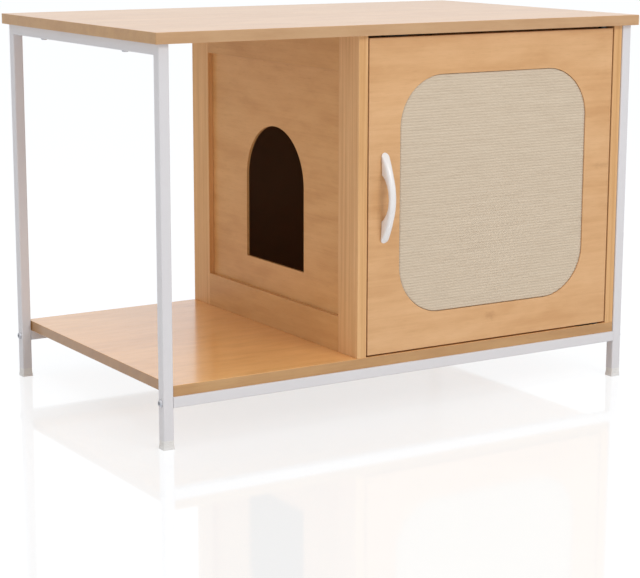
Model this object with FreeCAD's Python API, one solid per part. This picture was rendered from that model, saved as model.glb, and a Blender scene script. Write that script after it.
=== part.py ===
import FreeCAD, Part
import math
import os

# A cat litter box cabinet: a powder-coated square-tube frame carries a top and a bottom board.
# The left third is an open bay. The right part is a closed cabinet, entered by an arched hole
# in its left wall and opened by an inset door that turns on a pivot pin at its top and bottom.
# Millimetres. X runs to the right, Y to the back, Z up, and Z = 0 is the floor.

# ---------------------------------------------------------------- overall sizes
overall_width = 800.0          # top board, left to right
overall_depth = 500.0          # top board, front to back
overall_height = 550.0         # floor to the top face
board = 15.0                   # thickness of every coated board
board_ease = 0.4               # broken edge on the boards' long edges

# ---------------------------------------------------------------- tube frame
tube = 15.0                    # outer side of the square tube
tube_wall = 1.2
tube_corner = 1.6              # outer corner radius of the tube
side_overhang = 7.5            # top board past the legs, left and right
front_overhang = 8.5           # top board past the legs, front and back
board_underside = 71.0         # floor to the underside of the bottom board

# ---------------------------------------------------------------- boards
board_setback = 2.0            # board edges behind the legs' front and back faces
board_gap = 0.5                # play between a board's end and the tube beside it
cabinet_width = 434.5          # clear width between the divider and the right side panel

# ---------------------------------------------------------------- divider (frame and panel)
rail_width = 51.0              # width of its stiles and rails
entry_recess = 8.0             # its outer face to the face of the thin panel
entry_thickness = 4.0
groove_depth = 8.0
groove_play = 0.2              # play of a thin panel in its groove, on each face
edge_play = 0.6                # play of a thin panel at the bottom of its groove
arch_width = 166.0
arch_height = 206.0            # sill to crown
arch_sill = 96.0               # bottom board to the sill

# ---------------------------------------------------------------- back panel
back_thickness = 4.0
back_inset = 10.5              # back edge of the boards to the panel's groove
back_groove_depth = 5.0

# ---------------------------------------------------------------- door
door_gap_handle_side = 2.0
door_gap_hinge_side = 2.5
door_gap_top = 4.0
door_gap_bottom = 2.5
mat_margin_left = 52.0         # door edges to the scratching mat's pocket
mat_margin_right = 48.0
mat_margin_top = 53.5
mat_margin_bottom = 50.5
mat_pocket_depth = 5.0
mat_corner = 72.0
mat_play = 0.7                 # gap round the mat
mat_sink = 0.2                 # mat face below the door face

# ---------------------------------------------------------------- bow handle
handle_screw_spacing = 96.0    # screw to screw
handle_length = 127.0
handle_width = 12.6            # at the two ends
handle_waist = 10.4            # in the middle of the bow
handle_round = 2.6             # rounding of its outer edges
handle_inner_round = 1.6
handle_projection = 24.0
handle_grip = 7.4              # thickness at the middle of the bow
handle_span = 63.0             # length of the open part against the door
handle_from_edge = 26.0        # door's edge to the handle's centre line
handle_screw_bite = 7.0

# ---------------------------------------------------------------- fittings
bolt_shank = 6.0
bolt_head = 10.5
bolt_head_height = 3.2
bolt_socket = 4.0              # hexagon, across its flats
bolt_reach = 12.0              # thread inside the rail's end plug
plug_length = 18.0
plug_play = 0.15
plug_edge = 0.8                # broken corners of plugs and foot stems
hole_play = 0.2                # radial play of a plain hole round its fastener
screw_shank = 4.0
screw_head = 9.5
screw_head_height = 2.4
screw_bite = 10.0              # screw length inside the board
bottom_screw_from_end = 90.0   # bottom board's end to its screws
access_hole = 10.5             # lets a screw's head up into the lower rails
tip_play = 1.0                 # empty end of a blind hole past its screw
screw_from_middle = 131.0      # top screws, in front of and behind the middle
thread_play = 0.05             # radial play drawn between a thread and its hole
confirmat_head = 9.5
confirmat_shank = 7.0
confirmat_core = 5.0
confirmat_bite = 32.0
confirmat_head_depth = 3.0
dowel_diameter = 8.0
dowel_bite = 15.0
dowel_play = 0.1
cam_diameter = 15.0
cam_depth = 12.0
cam_drilling = 24.0            # board's end to the cam's centre
cam_bolt_head = 7.0
cam_bolt_head_height = 6.0
cam_bolt_thread = 6.0
cam_bolt_bite = 10.5
cam_play = 0.15
cam_mouth_play = 0.3           # radial play round the bolt's head inside the cam
cam_slot = 1.6                 # screwdriver slot in the cam's face
cam_slot_depth = 1.5
cam_from_groove = 1.0          # wood left between the panel groove and the cam
dowel_from_cam = 1.5           # wood left between the cam and the dowel
dowel_cover = 5.0              # wood left over a dowel in the top board

# ---------------------------------------------------------------- feet
foot_height = 12.5
foot_bottom = 16.6             # side of the foot at the floor
foot_top = 15.0                # side of the foot where it meets the tube
foot_flare = 7.5               # height of the flare above the floor
foot_edge = 1.0                # broken corners of the foot
foot_rib_height = 0.7          # sunk rings round the foot
foot_rib_depth = 0.35
foot_rib_slope = 0.15
foot_rib_levels = [5.4, 8.0, 10.6]
foot_stem = 16.0
foot_fin = 1.2                 # thickness and reach of the stem's three fins
foot_stem_play = 0.15

# ---------------------------------------------------------------- catch
catch_length = 44.0
catch_width = 14.0
catch_height = 16.0
catch_from_divider = 60.0      # divider to the middle of the catch
catch_air = 0.3                # air between the magnet and its plate when the door is shut
catch_plate = 1.5
catch_plate_below = 2.0        # door's top edge to the plate
catch_plate_height = 14.0
catch_plate_length = 36.0
catch_plate_corner = 2.0
catch_ear = 12.0               # diameter of the body's screw ears
catch_ear_height = 4.0
catch_ear_inset = 6.0          # body's end to the ear's screw
catch_head_play = 1.0          # radial play round the screws' heads
catch_screw_bite = 8.0
strike_bite = 9.0              # plate screw inside the door
strike_head = 7.4
strike_head_play = 0.3
magnet_length = 15.8
magnet_width = 3.0
magnet_height = 5.0
magnet_play = 0.1

# ---------------------------------------------------------------- pivot hinges
pivot_from_edge = 14.0         # door's hinge-side edge to the pivot
pivot_pin = 6.0
pivot_running_play = 0.05      # radial play of the pin in its bush
pivot_reach = 14.0             # pin and bush inside the door
pivot_collar = 10.0            # shoulder of the pin between plate and bush
pivot_end_play = 0.1
pivot_tip_play = 1.0           # pin's tip to the end of its bush's bore
pivot_nose = 1.0               # tapered tip of the pin
bush_wall = 1.0                # closed end of the bush
bush_tip_play = 0.5            # bush's end to the bottom of its hole
bush_outer = 9.0
bush_flange = 13.0
bush_flange_height = 1.0
pivot_plate = 1.5
pivot_plate_width = 11.0
pivot_plate_length = 44.0
pivot_plate_end = 8.0          # pivot to the plate's near end
pivot_screws = [13.0, 29.0]    # pivot to each of the plate's screws
small_screw = 3.0
small_screw_head = 5.8
small_screw_bite = 9.5


# ================================================================ derived places
top_under = overall_height - board
bottom_top = board_underside + board
leg_x = overall_width / 2 - side_overhang          # outer side faces of the legs
leg_y = overall_depth / 2 - front_overhang         # front and back faces of the legs
leg_centre_x = leg_x - tube / 2
leg_centre_y = leg_y - tube / 2
rail_centre_z = board_underside - tube / 2
board_y = leg_y - board_setback                    # front and back edges of the inner boards
board_x = leg_x - tube - board_gap                 # ends of the bottom board

right_panel_out = board_x
right_panel_in = right_panel_out - board
divider_in = right_panel_in - cabinet_width        # divider face inside the cabinet
divider_out = divider_in - board                   # divider face in the open bay
divider_middle = divider_in - board / 2
right_panel_middle = right_panel_in + board / 2
stile_inner = board_y - rail_width
stile_middle = board_y - rail_width / 2

entry_face = divider_out + entry_recess
back_face = board_y - back_inset
back_front = back_face - back_thickness

door_left = divider_in + door_gap_handle_side
door_right = right_panel_in - door_gap_hinge_side
door_bottom = bottom_top + door_gap_bottom
door_top = top_under - door_gap_top
door_front = -board_y
door_back = door_front + board

handle_x = door_left + handle_from_edge
handle_z = (door_bottom + door_top) / 2

# The origin is under the middle of the whole part's box, which the handle makes longer in front.
front_reach = door_front - handle_projection
origin_y = (front_reach + overall_depth / 2) / 2

X_AXIS = FreeCAD.Vector(1, 0, 0)
Y_AXIS = FreeCAD.Vector(0, 1, 0)
Z_AXIS = FreeCAD.Vector(0, 0, 1)


# ================================================================ helpers
def point(x, y, z):
    return FreeCAD.Vector(x, y, z)


def box(x, y, z):
    """Box between three (low, high) pairs."""
    size = [pair[1] - pair[0] for pair in (x, y, z)]
    return Part.makeBox(size[0], size[1], size[2], point(x[0], y[0], z[0]))


def rod(diameter, start, end):
    """Round bar between two points."""
    along = end - start
    return Part.makeCylinder(diameter / 2, along.Length, start, along)


def cone(start_diameter, end_diameter, start, end):
    along = end - start
    return Part.makeCone(start_diameter / 2, end_diameter / 2, along.Length, start, along)


def cut_all(shape, tools):
    for tool in tools:
        shape = shape.cut(tool)
    return shape


def fuse_all(shapes):
    result = shapes[0]
    for shape in shapes[1:]:
        result = result.fuse(shape)
    return result.removeSplitter()


def eased(shape, direction, ease):
    """Breaks the straight edges that run along one direction."""
    edges = []
    for edge in shape.Edges:
        along = edge.tangentAt(edge.FirstParameter)
        if abs(along.dot(direction)) > 0.999:
            edges.append(edge)
    return shape.makeChamfer(ease, edges)


def board_blank(x, y, z, ease):
    """Coated board with all its edges broken."""
    blank = box(x, y, z)
    return blank.makeChamfer(ease, blank.Edges)


def rounded_rectangle(width, height, radius):
    """Closed wire in the XZ plane, centred on the origin."""
    w = width / 2
    h = height / 2
    r = radius
    mid = r * (1 - math.sqrt(0.5))
    corners = [
        (point(w - r, 0, -h), point(w - mid, 0, -h + mid), point(w, 0, -h + r)),
        (point(w, 0, h - r), point(w - mid, 0, h - mid), point(w - r, 0, h)),
        (point(-w + r, 0, h), point(-w + mid, 0, h - mid), point(-w, 0, h - r)),
        (point(-w, 0, -h + r), point(-w + mid, 0, -h + mid), point(-w + r, 0, -h)),
    ]
    edges = []
    for index, corner in enumerate(corners):
        edges.append(Part.Arc(*corner).toShape())
        following = corners[(index + 1) % len(corners)]
        edges.append(Part.LineSegment(corner[2], following[0]).toShape())
    return Part.Wire(edges)


def rounded_square_face(side, radius):
    """Rounded square in the XY plane, centred on the origin."""
    wire = rounded_rectangle(side, side, radius)
    face = Part.Face(wire)
    face.rotate(point(0, 0, 0), X_AXIS, 90)
    return face


def rounded_bar(side, radius, length):
    """Rounded square bar up from the origin along Z."""
    return rounded_square_face(side, radius).extrude(point(0, 0, length))


def square_bar(side, edge, length):
    """Square bar with broken corners, up from the origin along Z."""
    half = side / 2
    return eased(box((-half, half), (-half, half), (0, length)), Z_AXIS, edge)


def square_tube(length):
    """Square tube up from the origin along Z."""
    bore = tube / 2 - tube_wall
    return rounded_bar(tube, tube_corner, length).cut(box((-bore, bore), (-bore, bore), (0, length)))


def laid_along(shape, direction, start):
    """Turns a shape that stands along Z to another direction, and moves its foot to a point."""
    placed = shape.copy()
    turn = FreeCAD.Rotation(Z_AXIS, direction)
    placed.Placement = FreeCAD.Placement(start, turn).multiply(placed.Placement)
    return placed


# ================================================================ tube frame
def mitre_face(side):
    """Outline of all that lies above a leg's 45 degree mitre; side is -1 in front, 1 behind."""
    reach = 2 * tube
    outer = side * leg_y
    inner = side * (leg_y - tube)
    profile = Part.makePolygon([
        point(0, outer, top_under),
        point(0, inner, top_under - tube),
        point(0, inner - side * reach, top_under - tube),
        point(0, inner - side * reach, top_under + reach),
        point(0, outer, top_under + reach),
        point(0, outer, top_under),
    ])
    return Part.Face(profile)


def leg(side_x, side_y):
    foot = point(side_x * leg_centre_x, side_y * leg_centre_y, foot_height)
    shape = laid_along(square_tube(top_under - foot_height), Z_AXIS, foot)
    wedge = mitre_face(side_y)
    wedge.translate(point(side_x * leg_x - tube, 0, 0))
    shape = shape.cut(wedge.extrude(point(2 * tube, 0, 0)))
    through = rod(bolt_shank + 2 * hole_play,
                  point(side_x * (leg_x + tube), side_y * leg_centre_y, rail_centre_z),
                  point(side_x * (leg_x - 2 * tube), side_y * leg_centre_y, rail_centre_z))
    return shape.cut(through)


def top_rail(side_x):
    """Side rail under the top board, mitred between the two legs."""
    start = point(side_x * leg_centre_x, -leg_y, top_under - tube / 2)
    shape = laid_along(square_tube(2 * leg_y), Y_AXIS, start)
    for side_y in (-1, 1):
        outer = side_y * leg_y
        inner = side_y * (leg_y - tube)
        below = Part.Face(Part.makePolygon([
            point(0, outer + side_y * tube, top_under + tube),
            point(0, outer + side_y * tube, top_under - 2 * tube),
            point(0, inner - side_y * tube, top_under - 2 * tube),
            point(0, outer + side_y * tube, top_under + tube),
        ]))
        below.translate(point(side_x * leg_x - tube, 0, 0))
        shape = shape.cut(below.extrude(point(2 * tube, 0, 0)))
    holes = []
    for y in (-screw_from_middle, screw_from_middle):
        low = point(side_x * leg_centre_x, y, top_under - 2 * tube)
        high = point(side_x * leg_centre_x, y, top_under + tube)
        holes.append(rod(screw_shank + 2 * hole_play, low, high))
    return cut_all(shape, holes)


def lower_rail(side_y):
    """Long rail under the bottom board, bolted between two legs."""
    reach = leg_x - tube
    start = point(-reach, side_y * leg_centre_y, rail_centre_z)
    shape = laid_along(square_tube(2 * reach), X_AXIS, start)
    holes = []
    for x in bottom_screw_places():
        def level(z):
            return point(x, side_y * leg_centre_y, z)
        holes.append(rod(screw_shank + 2 * hole_play, level(rail_centre_z),
                         level(rail_centre_z + tube)))
        holes.append(rod(access_hole, level(rail_centre_z - tube), level(rail_centre_z)))
    return cut_all(shape, holes)


def bottom_screw_places():
    """Where the bottom board is screwed to its rails: near both ends."""
    end = board_x - bottom_screw_from_end
    return [-end, end]


def rail_plugs():
    """Threaded plugs pressed into the four ends of the lower rails."""
    side = tube - 2 * tube_wall - 2 * plug_play
    plugs = []
    for side_x in (-1, 1):
        for side_y in (-1, 1):
            start = point(side_x * (leg_x - tube), side_y * leg_centre_y, rail_centre_z)
            inward = point(-side_x, 0, 0)
            plug = laid_along(square_bar(side, plug_edge, plug_length), inward, start)
            bore = rod(bolt_shank + 2 * thread_play, start, start + inward * plug_length)
            plugs.append(plug.cut(bore))
    return Part.makeCompound(plugs)


def button_head(diameter, height, socket):
    """Round head with a sloped shoulder and a hexagon socket, standing up from the origin."""
    shoulder = height * 0.4
    head = fuse_all([
        rod(diameter, point(0, 0, 0), point(0, 0, shoulder)),
        cone(diameter, diameter * 0.62, point(0, 0, shoulder), point(0, 0, height)),
    ])
    corners = []
    for corner in range(7):
        angle = math.radians(60 * corner)
        corners.append(point(socket / math.sqrt(3) * math.cos(angle),
                             socket / math.sqrt(3) * math.sin(angle), shoulder))
    return head.cut(Part.Face(Part.makePolygon(corners)).extrude(point(0, 0, height)))


def frame_bolts():
    bolts = []
    for side_x in (-1, 1):
        outward = point(side_x, 0, 0)
        for side_y in (-1, 1):
            seat = point(side_x * leg_x, side_y * leg_centre_y, rail_centre_z)
            head = laid_along(button_head(bolt_head, bolt_head_height, bolt_socket), outward, seat)
            shank = rod(bolt_shank, seat, seat - outward * (tube + bolt_reach))
            bolts.append(fuse_all([head, shank]))
    return Part.makeCompound(bolts)


def pan_screw(seat, inward, grip, bite):
    """Pan-head screw: its head stands on the seat, its shank runs inward."""
    head = laid_along(pan_head(), inward * -1, seat)
    shank = rod(screw_shank, seat, seat + inward * (grip + bite))
    return fuse_all([head, shank])


def pan_head():
    """Low tapered head, standing up from the origin."""
    return cone(screw_head, screw_head * 0.7, point(0, 0, 0), point(0, 0, screw_head_height))


def top_panel_screws():
    screws = []
    for side_x in (-1, 1):
        for y in (-screw_from_middle, screw_from_middle):
            seat = point(side_x * leg_centre_x, y, top_under - tube)
            screws.append(pan_screw(seat, Z_AXIS, tube, screw_bite))
    return Part.makeCompound(screws)


def bottom_panel_screws():
    """Screws inside the lower rails, put in through the access holes."""
    screws = []
    for side_y in (-1, 1):
        for x in bottom_screw_places():
            seat = point(x, side_y * leg_centre_y, board_underside - tube_wall)
            screws.append(pan_screw(seat, Z_AXIS, tube_wall, screw_bite))
    return Part.makeCompound(screws)


def pilot_holes(x_values, y_values, face_z):
    """Blind holes up into a board for the screws' ends."""
    holes = []
    for x in x_values:
        for y in y_values:
            low = point(x, y, face_z)
            high = point(x, y, face_z + screw_bite + tip_play)
            holes.append(rod(screw_shank + 2 * thread_play, low, high))
    return holes


def broken_square(side, level):
    """Outline of the foot at a level: a square with broken corners."""
    half = side / 2
    near = half - foot_edge
    corners = [(near, -half), (half, -near), (half, near), (near, half),
               (-near, half), (-half, near), (-half, -near), (-near, -half), (near, -half)]
    return Part.makePolygon([point(x, y, level) for x, y in corners])


def foot_side(level):
    """Width of the foot at a level: it flares towards the floor."""
    flare = max(0.0, 1 - level / foot_flare)
    return foot_top + (foot_bottom - foot_top) * flare


def foot_cap(side_x, side_y):
    """Plastic foot: a flared head with sunk rings under the tube, and a finned stem inside it."""
    outlines = [broken_square(foot_bottom, 0)]
    for level in foot_rib_levels:
        low = level - foot_rib_height / 2
        high = level + foot_rib_height / 2
        for z, sink in ((low, 0), (low + foot_rib_slope, foot_rib_depth),
                        (high - foot_rib_slope, foot_rib_depth), (high, 0)):
            outlines.append(broken_square(foot_side(z) - 2 * sink, z))
    outlines.append(broken_square(foot_top, foot_height))
    pieces = [Part.makeLoft(outlines, True, True)]
    stem_side = tube - 2 * tube_wall - 2 * foot_stem_play
    stem = square_bar(stem_side - 2 * foot_fin, plug_edge, foot_stem)
    stem.translate(point(0, 0, foot_height))
    pieces.append(stem)
    for number in range(1, 4):
        fin = square_bar(stem_side, plug_edge, foot_fin)
        fin.translate(point(0, 0, foot_height + foot_stem * number / 4))
        pieces.append(fin)
    shape = fuse_all(pieces)
    shape.translate(point(side_x * leg_centre_x, side_y * leg_centre_y, 0))
    return shape


# ================================================================ joints between the boards
def edge_fittings():
    """Where the upright boards are joined: middle of the board, inner face, way to its core."""
    return [
        (divider_middle, divider_in, -1),
        (right_panel_middle, right_panel_in, 1),
    ]


cam_y = stile_inner + groove_depth + cam_diameter / 2 + cam_from_groove
dowel_y = cam_y + cam_diameter / 2 + dowel_diameter / 2 + dowel_from_cam
cam_z = top_under - cam_drilling
dowel_top_bite = board - dowel_cover


def upright_fitting_holes(middle, inner_face, inward):
    """Holes in an upright board's ends and inner face for all its fittings."""
    holes = []
    pocket = cam_diameter + 2 * cam_play
    for side in (-1, 1):
        face = point(inner_face - inward, side * cam_y, cam_z)
        floor = point(inner_face + inward * (cam_depth + cam_play), side * cam_y, cam_z)
        holes.append(rod(pocket, face, floor))
        holes.append(rod(cam_bolt_head + 2 * cam_mouth_play, point(middle, side * cam_y, cam_z),
                         point(middle, side * cam_y, top_under + 1)))
        holes.append(rod(dowel_diameter + 2 * dowel_play,
                         point(middle, side * dowel_y, top_under - dowel_bite - tip_play),
                         point(middle, side * dowel_y, top_under + 1)))
        holes.append(rod(confirmat_core + 2 * thread_play,
                         point(middle, side * stile_middle, bottom_top - 1),
                         point(middle, side * stile_middle,
                               bottom_top + confirmat_bite + tip_play)))
    return holes


def cam_locks():
    """Round cams in the upright boards, each hollowed for the head of its bolt."""
    cams = []
    for middle, inner_face, inward in edge_fittings():
        for side in (-1, 1):
            face = point(inner_face, side * cam_y, cam_z)
            body = rod(cam_diameter, face, face + point(inward * cam_depth, 0, 0))
            mouth = rod(cam_bolt_head + 2 * cam_mouth_play,
                        point(middle, side * cam_y, cam_z - cam_bolt_head / 2),
                        point(middle, side * cam_y, cam_z + cam_diameter))
            slot = box((inner_face - cam_slot_depth, inner_face + cam_slot_depth),
                       (face.y - cam_slot / 2, face.y + cam_slot / 2),
                       (cam_z - cam_diameter / 3, cam_z + cam_diameter / 3))
            cams.append(body.cut(mouth).cut(slot))
    return Part.makeCompound(cams)


def cam_bolts():
    """Bolts screwed up into the top board; their heads hang in the cams."""
    bolts = []
    for middle, _, _ in edge_fittings():
        for side in (-1, 1):
            def level(z):
                return point(middle, side * cam_y, z)
            low = cam_z - cam_bolt_head_height / 2
            high = cam_z + cam_bolt_head_height / 2
            bolts.append(fuse_all([
                rod(cam_bolt_head, level(low), level(high)),
                rod(cam_bolt_thread, level(high), level(top_under + cam_bolt_bite)),
            ]))
    return Part.makeCompound(bolts)


def dowels():
    pins = []
    for middle, _, _ in edge_fittings():
        for side in (-1, 1):
            pins.append(rod(dowel_diameter, point(middle, side * dowel_y, top_under - dowel_bite),
                            point(middle, side * dowel_y, top_under + dowel_top_bite - tip_play)))
    return Part.makeCompound(pins)


def confirmat_screws():
    """Countersunk connector screws up through the bottom board."""
    screws = []
    for middle, _, _ in edge_fittings():
        for side in (-1, 1):
            def level(z):
                return point(middle, side * stile_middle, z)
            neck = board_underside + confirmat_head_depth
            screws.append(fuse_all([
                cone(confirmat_head, confirmat_shank, level(board_underside), level(neck)),
                rod(confirmat_shank, level(neck), level(bottom_top)),
                rod(confirmat_core, level(bottom_top), level(bottom_top + confirmat_bite)),
            ]))
    return Part.makeCompound(screws)


# ================================================================ boards
def back_groove(x, z):
    """Groove for the back panel."""
    return box(x, (back_front - groove_play, back_face + groove_play), z)


def top_panel():
    blank = board_blank((-overall_width / 2, overall_width / 2),
                        (-overall_depth / 2, overall_depth / 2),
                        (top_under, overall_height), board_ease)
    holes = pilot_holes((-leg_centre_x, leg_centre_x), (-screw_from_middle, screw_from_middle),
                        top_under)
    for middle, _, _ in edge_fittings():
        for side in (-1, 1):
            holes.append(rod(cam_bolt_thread + 2 * thread_play,
                             point(middle, side * cam_y, top_under - 1),
                             point(middle, side * cam_y, top_under + cam_bolt_bite + tip_play)))
            holes.append(rod(dowel_diameter + 2 * dowel_play,
                             point(middle, side * dowel_y, top_under - 1),
                             point(middle, side * dowel_y, top_under + dowel_top_bite)))
    holes += catch_pilot_holes()
    holes += pivot_recess(1)
    holes.append(back_groove((divider_in - back_groove_depth, right_panel_in + back_groove_depth),
                             (top_under - 1, top_under + back_groove_depth)))
    return cut_all(blank, holes)


def bottom_panel():
    blank = board_blank((-board_x, board_x), (-board_y, board_y),
                        (board_underside, bottom_top), board_ease)
    holes = pilot_holes(bottom_screw_places(), (-leg_centre_y, leg_centre_y), board_underside)
    for middle, _, _ in edge_fittings():
        for side in (-1, 1):
            def level(z):
                return point(middle, side * stile_middle, z)
            play = 2 * thread_play
            neck = board_underside + confirmat_head_depth
            holes.append(cone(confirmat_head + play, confirmat_shank + play,
                              level(board_underside), level(neck)))
            holes.append(rod(confirmat_shank + play, level(board_underside), level(bottom_top + 1)))
    holes.append(back_groove((divider_in - back_groove_depth, right_panel_in + back_groove_depth),
                             (bottom_top - back_groove_depth, bottom_top + 1)))
    holes += pivot_recess(-1)
    return cut_all(blank, holes)


def right_side_panel():
    blank = board_blank((right_panel_in, right_panel_out), (-board_y, board_y),
                        (bottom_top, top_under), board_ease)
    holes = upright_fitting_holes(right_panel_middle, right_panel_in, 1)
    holes.append(back_groove((right_panel_in - 1, right_panel_in + back_groove_depth),
                             (bottom_top - 1, top_under + 1)))
    return cut_all(blank, holes)


def back_panel():
    tongue = back_groove_depth - edge_play
    return box((divider_in - tongue, right_panel_in + tongue), (back_front, back_face),
               (bottom_top - tongue, top_under + tongue))


# ================================================================ divider
def divider_stile(side):
    """Upright of the divider's frame; side is -1 in front, 1 behind."""
    edge = sorted((side * board_y, side * stile_inner))
    blank = board_blank((divider_out, divider_in), edge, (bottom_top, top_under), board_ease)
    groove_y = sorted((side * (stile_inner + groove_depth), side * (stile_inner - 1)))
    holes = [box((entry_face - groove_play, entry_face + entry_thickness + groove_play),
                 groove_y, (bottom_top - 1, top_under + 1))]
    holes += upright_fitting_holes(divider_middle, divider_in, -1)
    if side > 0:
        holes.append(back_groove((divider_in - back_groove_depth, divider_in + 1),
                                 (bottom_top - 1, top_under + 1)))
    return cut_all(blank, holes)


def divider_rail(level):
    """Cross rail of the divider's frame, with a stub tenon at each end; level is -1 or 1."""
    if level < 0:
        z = (bottom_top, bottom_top + rail_width)
        groove_z = (z[1] - groove_depth, z[1] + 1)
        tenon_z = (z[0], z[1] - groove_depth)
    else:
        z = (top_under - rail_width, top_under)
        groove_z = (z[0] - 1, z[0] + groove_depth)
        tenon_z = (z[0] + groove_depth, z[1])
    blank = eased(box((divider_out, divider_in), (-stile_inner, stile_inner), z), Y_AXIS,
                  board_ease)
    thin = (entry_face - groove_play, entry_face + entry_thickness + groove_play)
    blank = blank.cut(box(thin, (-board_y, board_y), groove_z))
    reach = stile_inner + groove_depth - edge_play
    tongue = box((entry_face, entry_face + entry_thickness), (-reach, reach), tenon_z)
    return blank.fuse(tongue).removeSplitter()


def arch_tool():
    """Round-headed opening, drawn on the left of the panel and pushed through it."""
    sill = bottom_top + arch_sill
    radius = arch_width / 2
    spring = sill + arch_height - radius
    outline = Part.Wire([
        Part.makeLine(point(0, -radius, sill), point(0, radius, sill)),
        Part.makeLine(point(0, radius, sill), point(0, radius, spring)),
        Part.Arc(point(0, radius, spring), point(0, 0, spring + radius),
                 point(0, -radius, spring)).toShape(),
        Part.makeLine(point(0, -radius, spring), point(0, -radius, sill)),
    ])
    face = Part.Face(outline)
    face.translate(point(divider_out, 0, 0))
    return face.extrude(point(board, 0, 0))


def entry_panel():
    reach = stile_inner + groove_depth - edge_play
    low = bottom_top + rail_width - groove_depth + edge_play
    high = top_under - rail_width + groove_depth - edge_play
    panel = box((entry_face, entry_face + entry_thickness), (-reach, reach), (low, high))
    return panel.cut(arch_tool())


# ================================================================ door
def mat_outline(shrink):
    left = door_left + mat_margin_left
    right = door_right - mat_margin_right
    low = door_bottom + mat_margin_bottom
    high = door_top - mat_margin_top
    outline = rounded_rectangle(right - left - 2 * shrink, high - low - 2 * shrink,
                                mat_corner - shrink)
    face = Part.Face(outline)
    face.translate(point((left + right) / 2, 0, (low + high) / 2))
    return face


def door_panel():
    blank = board_blank((door_left, door_right), (door_front, door_back),
                        (door_bottom, door_top), board_ease)
    pocket = mat_outline(0)
    pocket.translate(point(0, door_front - 1, 0))
    tools = [pocket.extrude(point(0, mat_pocket_depth + 1, 0))]
    for z in handle_screw_levels():
        tools.append(rod(screw_shank + 2 * hole_play, point(handle_x, door_front - 1, z),
                         point(handle_x, door_back + 1, z)))
    tools += catch_plate_holes()
    tools += bush_bores()
    return cut_all(blank, tools)


def sisal_mat():
    """Scratching mat, glued into its pocket."""
    mat = mat_outline(mat_play)
    mat.translate(point(0, door_front + mat_sink, 0))
    return mat.extrude(point(0, mat_pocket_depth - mat_sink, 0))


def handle_screw_levels():
    return (handle_z - handle_screw_spacing / 2, handle_z + handle_screw_spacing / 2)


def bow_circle(half_chord, rise):
    """Radius and centre (in Y) of the circle that leaves the door at half_chord and rises."""
    radius = (half_chord ** 2 + rise ** 2) / (2 * rise)
    return radius, radius - rise


def turned(points, centre):
    """Wheel about an X axis at Y = centre; its outline runs down one side and is mirrored."""
    right = [point(x, y, 0) for x, y in points]
    left = [point(-x, y, 0) for x, y in reversed(points)]
    outline = Part.makePolygon(right + left + right[:1])
    return Part.Face(outline).revolve(point(0, centre, 0), X_AXIS, 360)


def bow_body():
    """Outer curve of the bow, with its long edges broken in two steps."""
    radius, centre = bow_circle(handle_length / 2, handle_projection)
    half = handle_width / 2
    step = handle_round * (1 - math.sqrt(0.5))
    wheel = turned([
        (half, centre),
        (half, centre - radius + handle_round),
        (half - step, centre - radius + step),
        (half - handle_round, centre - radius),
    ], centre)
    return wheel.common(box((-half, half), (-handle_projection - 1, 0), (-radius, radius)))


def finger_gap():
    """Round cutter under the bow; it widens at both sides and so breaks the inner edges."""
    radius, centre = bow_circle(handle_span / 2, handle_projection - handle_grip)
    half = handle_width / 2
    step = handle_inner_round * (1 - math.sqrt(0.5))
    return turned([
        (half + 1, centre),
        (half + 1, centre - radius - handle_inner_round),
        (half, centre - radius - handle_inner_round),
        (half - step, centre - radius - step),
        (half - handle_inner_round, centre - radius),
    ], centre)


def bow_plan():
    """Front view of the bow: round ends and a slight waist, as a cutter along Y."""
    half = handle_length / 2
    end = handle_width / 2
    waist = handle_waist / 2
    front = Part.Wire([
        Part.Arc(point(end, 0, end - half), point(0, 0, -half), point(-end, 0, end - half)).toShape(),
        Part.Arc(point(-end, 0, end - half), point(-waist, 0, 0), point(-end, 0, half - end)).toShape(),
        Part.Arc(point(-end, 0, half - end), point(0, 0, half), point(end, 0, half - end)).toShape(),
        Part.Arc(point(end, 0, half - end), point(waist, 0, 0), point(end, 0, end - half)).toShape(),
    ])
    return Part.Face(front).extrude(point(0, -2 * handle_projection, 0))


def door_handle():
    bow = bow_body().cut(finger_gap()).common(bow_plan())
    bow.translate(point(handle_x, door_front, handle_z))
    for z in handle_screw_levels():
        bow = bow.cut(rod(screw_shank + 2 * thread_play, point(handle_x, door_front, z),
                          point(handle_x, door_front - handle_screw_bite - tip_play, z)))
    return bow.Solids[0]


def handle_screws():
    screws = []
    for z in handle_screw_levels():
        seat = point(handle_x, door_back, z)
        screws.append(pan_screw(seat, Y_AXIS * -1, board, handle_screw_bite))
    return Part.makeCompound(screws)


# ================================================================ magnetic catch
catch_x = divider_in + catch_from_divider
catch_front = door_back + catch_plate + catch_air
catch_screw_y = catch_front + catch_width / 2
catch_screw_reach = catch_length / 2 - catch_ear_inset
plate_z = door_top - catch_plate_below - catch_plate_height / 2


def catch_pilot_holes():
    holes = []
    for side in (-1, 1):
        x = catch_x + side * catch_screw_reach
        holes.append(rod(screw_shank + 2 * thread_play, point(x, catch_screw_y, top_under - 1),
                         point(x, catch_screw_y, top_under + catch_screw_bite + tip_play)))
    return holes


def door_catch():
    """Plastic catch body with the magnet's seat in its front and two screw ears."""
    body = box((catch_x - catch_screw_reach, catch_x + catch_screw_reach),
               (catch_front, catch_front + catch_width), (top_under - catch_height, top_under))
    ears, holes = [], [magnet_block(magnet_play)]
    for side in (-1, 1):
        def level(z):
            return point(catch_x + side * catch_screw_reach, catch_screw_y, z)
        seat = top_under - catch_ear_height
        ears.append(rod(catch_ear, level(seat), level(top_under)))
        holes.append(rod(screw_shank + 2 * hole_play, level(seat - 1), level(top_under + 1)))
        holes.append(rod(screw_head + 2 * catch_head_play, level(top_under - catch_height - 1),
                         level(seat)))
    return cut_all(fuse_all([body] + ears), holes)


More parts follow.
